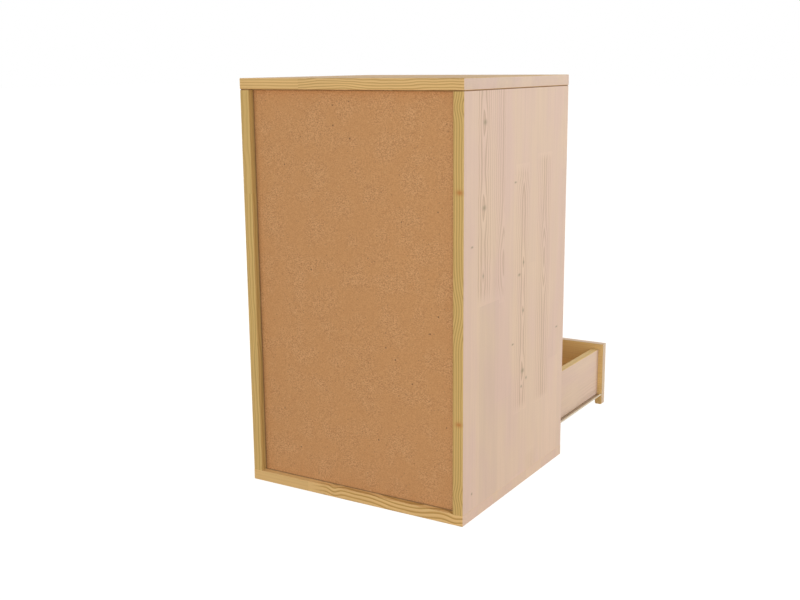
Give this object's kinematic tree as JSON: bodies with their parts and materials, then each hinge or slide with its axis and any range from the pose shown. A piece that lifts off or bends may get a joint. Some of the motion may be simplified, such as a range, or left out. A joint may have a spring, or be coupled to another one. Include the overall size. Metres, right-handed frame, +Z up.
{
  "type": "drawer unit",
  "caption": "Narrow free-standing pine drawer unit with a recessed hardboard back and inset drawers that slide on roller runners, pulled by a grip cut into each lower edge.",
  "frame": {"origin": "on the floor, under the middle of the carcass's bottom board", "axes": "+Z up, the drawers open towards -Y, +X to the right seen from the front"},
  "size_m": [0.42, 0.669, 0.7],
  "materials": {
    "pine": "oiled, satin",
    "hardboard": "smooth, matt",
    "beech": "bare",
    "enamelled_steel": "cream epoxy",
    "nylon": "moulded",
    "zinc": "zinc plated"
  },
  "bodies": {
    "carcass": {"top_panel": "pine", "bottom_panel": "pine", "left_side_panel": "pine", "right_side_panel": "pine", "back_panel": "hardboard", "carcass_dowels": "beech", "cabinet_rail_screws": "zinc", "cabinet_rails_1": "enamelled_steel", "cabinet_rails_2": "enamelled_steel", "cabinet_rails_3": "enamelled_steel", "cabinet_rails_4": "enamelled_steel", "cabinet_rails_5": "enamelled_steel"},
    "drawer_1": {"drawer_1_front": "pine", "drawer_1_left_side": "pine", "drawer_1_right_side": "pine", "drawer_1_back": "pine", "drawer_1_bottom": "hardboard", "drawer_1_rails": "enamelled_steel", "drawer_1_rail_screws": "zinc"},
    "front_rollers_1": {"front_rollers_1": "nylon"},
    "rear_rollers_1": {"rear_rollers_1": "nylon"},
    "drawer_2": {"drawer_2_front": "pine", "drawer_2_left_side": "pine", "drawer_2_right_side": "pine", "drawer_2_back": "pine", "drawer_2_bottom": "hardboard", "drawer_2_rails": "enamelled_steel", "drawer_2_rail_screws": "zinc"},
    "front_rollers_2": {"front_rollers_2": "nylon"},
    "rear_rollers_2": {"rear_rollers_2": "nylon"},
    "drawer_3": {"drawer_3_front": "pine", "drawer_3_left_side": "pine", "drawer_3_right_side": "pine", "drawer_3_back": "pine", "drawer_3_bottom": "hardboard", "drawer_3_rails": "enamelled_steel", "drawer_3_rail_screws": "zinc"},
    "front_rollers_3": {"front_rollers_3": "nylon"},
    "rear_rollers_3": {"rear_rollers_3": "nylon"},
    "drawer_4": {"drawer_4_front": "pine", "drawer_4_left_side": "pine", "drawer_4_right_side": "pine", "drawer_4_back": "pine", "drawer_4_bottom": "hardboard", "drawer_4_rails": "enamelled_steel", "drawer_4_rail_screws": "zinc"},
    "front_rollers_4": {"front_rollers_4": "nylon"},
    "rear_rollers_4": {"rear_rollers_4": "nylon"},
    "drawer_5": {"drawer_5_front": "pine", "drawer_5_left_side": "pine", "drawer_5_right_side": "pine", "drawer_5_back": "pine", "drawer_5_bottom": "hardboard", "drawer_5_rails": "enamelled_steel", "drawer_5_rail_screws": "zinc"},
    "front_rollers_5": {"front_rollers_5": "nylon"},
    "rear_rollers_5": {"rear_rollers_5": "nylon"}
  },
  "joints": [
    {"name": "drawer_1_slide", "type": "slide", "parent": "carcass", "child": "drawer_1", "axis": [0, -1, 0], "range_m": [-0.28, 0]},
    {"name": "front_rollers_1_spin", "type": "hinge", "parent": "carcass", "child": "front_rollers_1", "pos_m": [0, -0.165, 0.0332], "axis": [1, 0, 0], "continuous": true},
    {"name": "rear_rollers_1_spin", "type": "hinge", "parent": "drawer_1", "child": "rear_rollers_1", "pos_m": [0, -0.13, 0.0315], "axis": [1, 0, 0], "continuous": true},
    {"name": "drawer_2_slide", "type": "slide", "parent": "carcass", "child": "drawer_2", "axis": [0, -1, 0], "range_m": [0, 0.28]},
    {"name": "front_rollers_2_spin", "type": "hinge", "parent": "carcass", "child": "front_rollers_2", "pos_m": [0, -0.165, 0.1654], "axis": [1, 0, 0], "continuous": true},
    {"name": "rear_rollers_2_spin", "type": "hinge", "parent": "drawer_2", "child": "rear_rollers_2", "pos_m": [0, 0.15, 0.1637], "axis": [1, 0, 0], "continuous": true},
    {"name": "drawer_3_slide", "type": "slide", "parent": "carcass", "child": "drawer_3", "axis": [0, -1, 0], "range_m": [0, 0.28]},
    {"name": "front_rollers_3_spin", "type": "hinge", "parent": "carcass", "child": "front_rollers_3", "pos_m": [0, -0.165, 0.2976], "axis": [1, 0, 0], "continuous": true},
    {"name": "rear_rollers_3_spin", "type": "hinge", "parent": "drawer_3", "child": "rear_rollers_3", "pos_m": [0, 0.15, 0.2959], "axis": [1, 0, 0], "continuous": true},
    {"name": "drawer_4_slide", "type": "slide", "parent": "carcass", "child": "drawer_4", "axis": [0, -1, 0], "range_m": [0, 0.28]},
    {"name": "front_rollers_4_spin", "type": "hinge", "parent": "carcass", "child": "front_rollers_4", "pos_m": [0, -0.165, 0.4298], "axis": [1, 0, 0], "continuous": true},
    {"name": "rear_rollers_4_spin", "type": "hinge", "parent": "drawer_4", "child": "rear_rollers_4", "pos_m": [0, 0.15, 0.4281], "axis": [1, 0, 0], "continuous": true},
    {"name": "drawer_5_slide", "type": "slide", "parent": "carcass", "child": "drawer_5", "axis": [0, -1, 0], "range_m": [0, 0.28]},
    {"name": "front_rollers_5_spin", "type": "hinge", "parent": "carcass", "child": "front_rollers_5", "pos_m": [0, -0.165, 0.562], "axis": [1, 0, 0], "continuous": true},
    {"name": "rear_rollers_5_spin", "type": "hinge", "parent": "drawer_5", "child": "rear_rollers_5", "pos_m": [0, 0.15, 0.5603], "axis": [1, 0, 0], "continuous": true}
  ],
  "couplings": [
    {"joint": "front_rollers_1_spin", "follows": "drawer_1_slide", "rad_per_m": 117.65},
    {"joint": "rear_rollers_1_spin", "follows": "drawer_1_slide", "rad_per_m": 117.65},
    {"joint": "front_rollers_2_spin", "follows": "drawer_2_slide", "rad_per_m": 117.65},
    {"joint": "rear_rollers_2_spin", "follows": "drawer_2_slide", "rad_per_m": 117.65},
    {"joint": "front_rollers_3_spin", "follows": "drawer_3_slide", "rad_per_m": 117.65},
    {"joint": "rear_rollers_3_spin", "follows": "drawer_3_slide", "rad_per_m": 117.65},
    {"joint": "front_rollers_4_spin", "follows": "drawer_4_slide", "rad_per_m": 117.65},
    {"joint": "rear_rollers_4_spin", "follows": "drawer_4_slide", "rad_per_m": 117.65},
    {"joint": "front_rollers_5_spin", "follows": "drawer_5_slide", "rad_per_m": 117.65},
    {"joint": "rear_rollers_5_spin", "follows": "drawer_5_slide", "rad_per_m": 117.65}
  ]
}
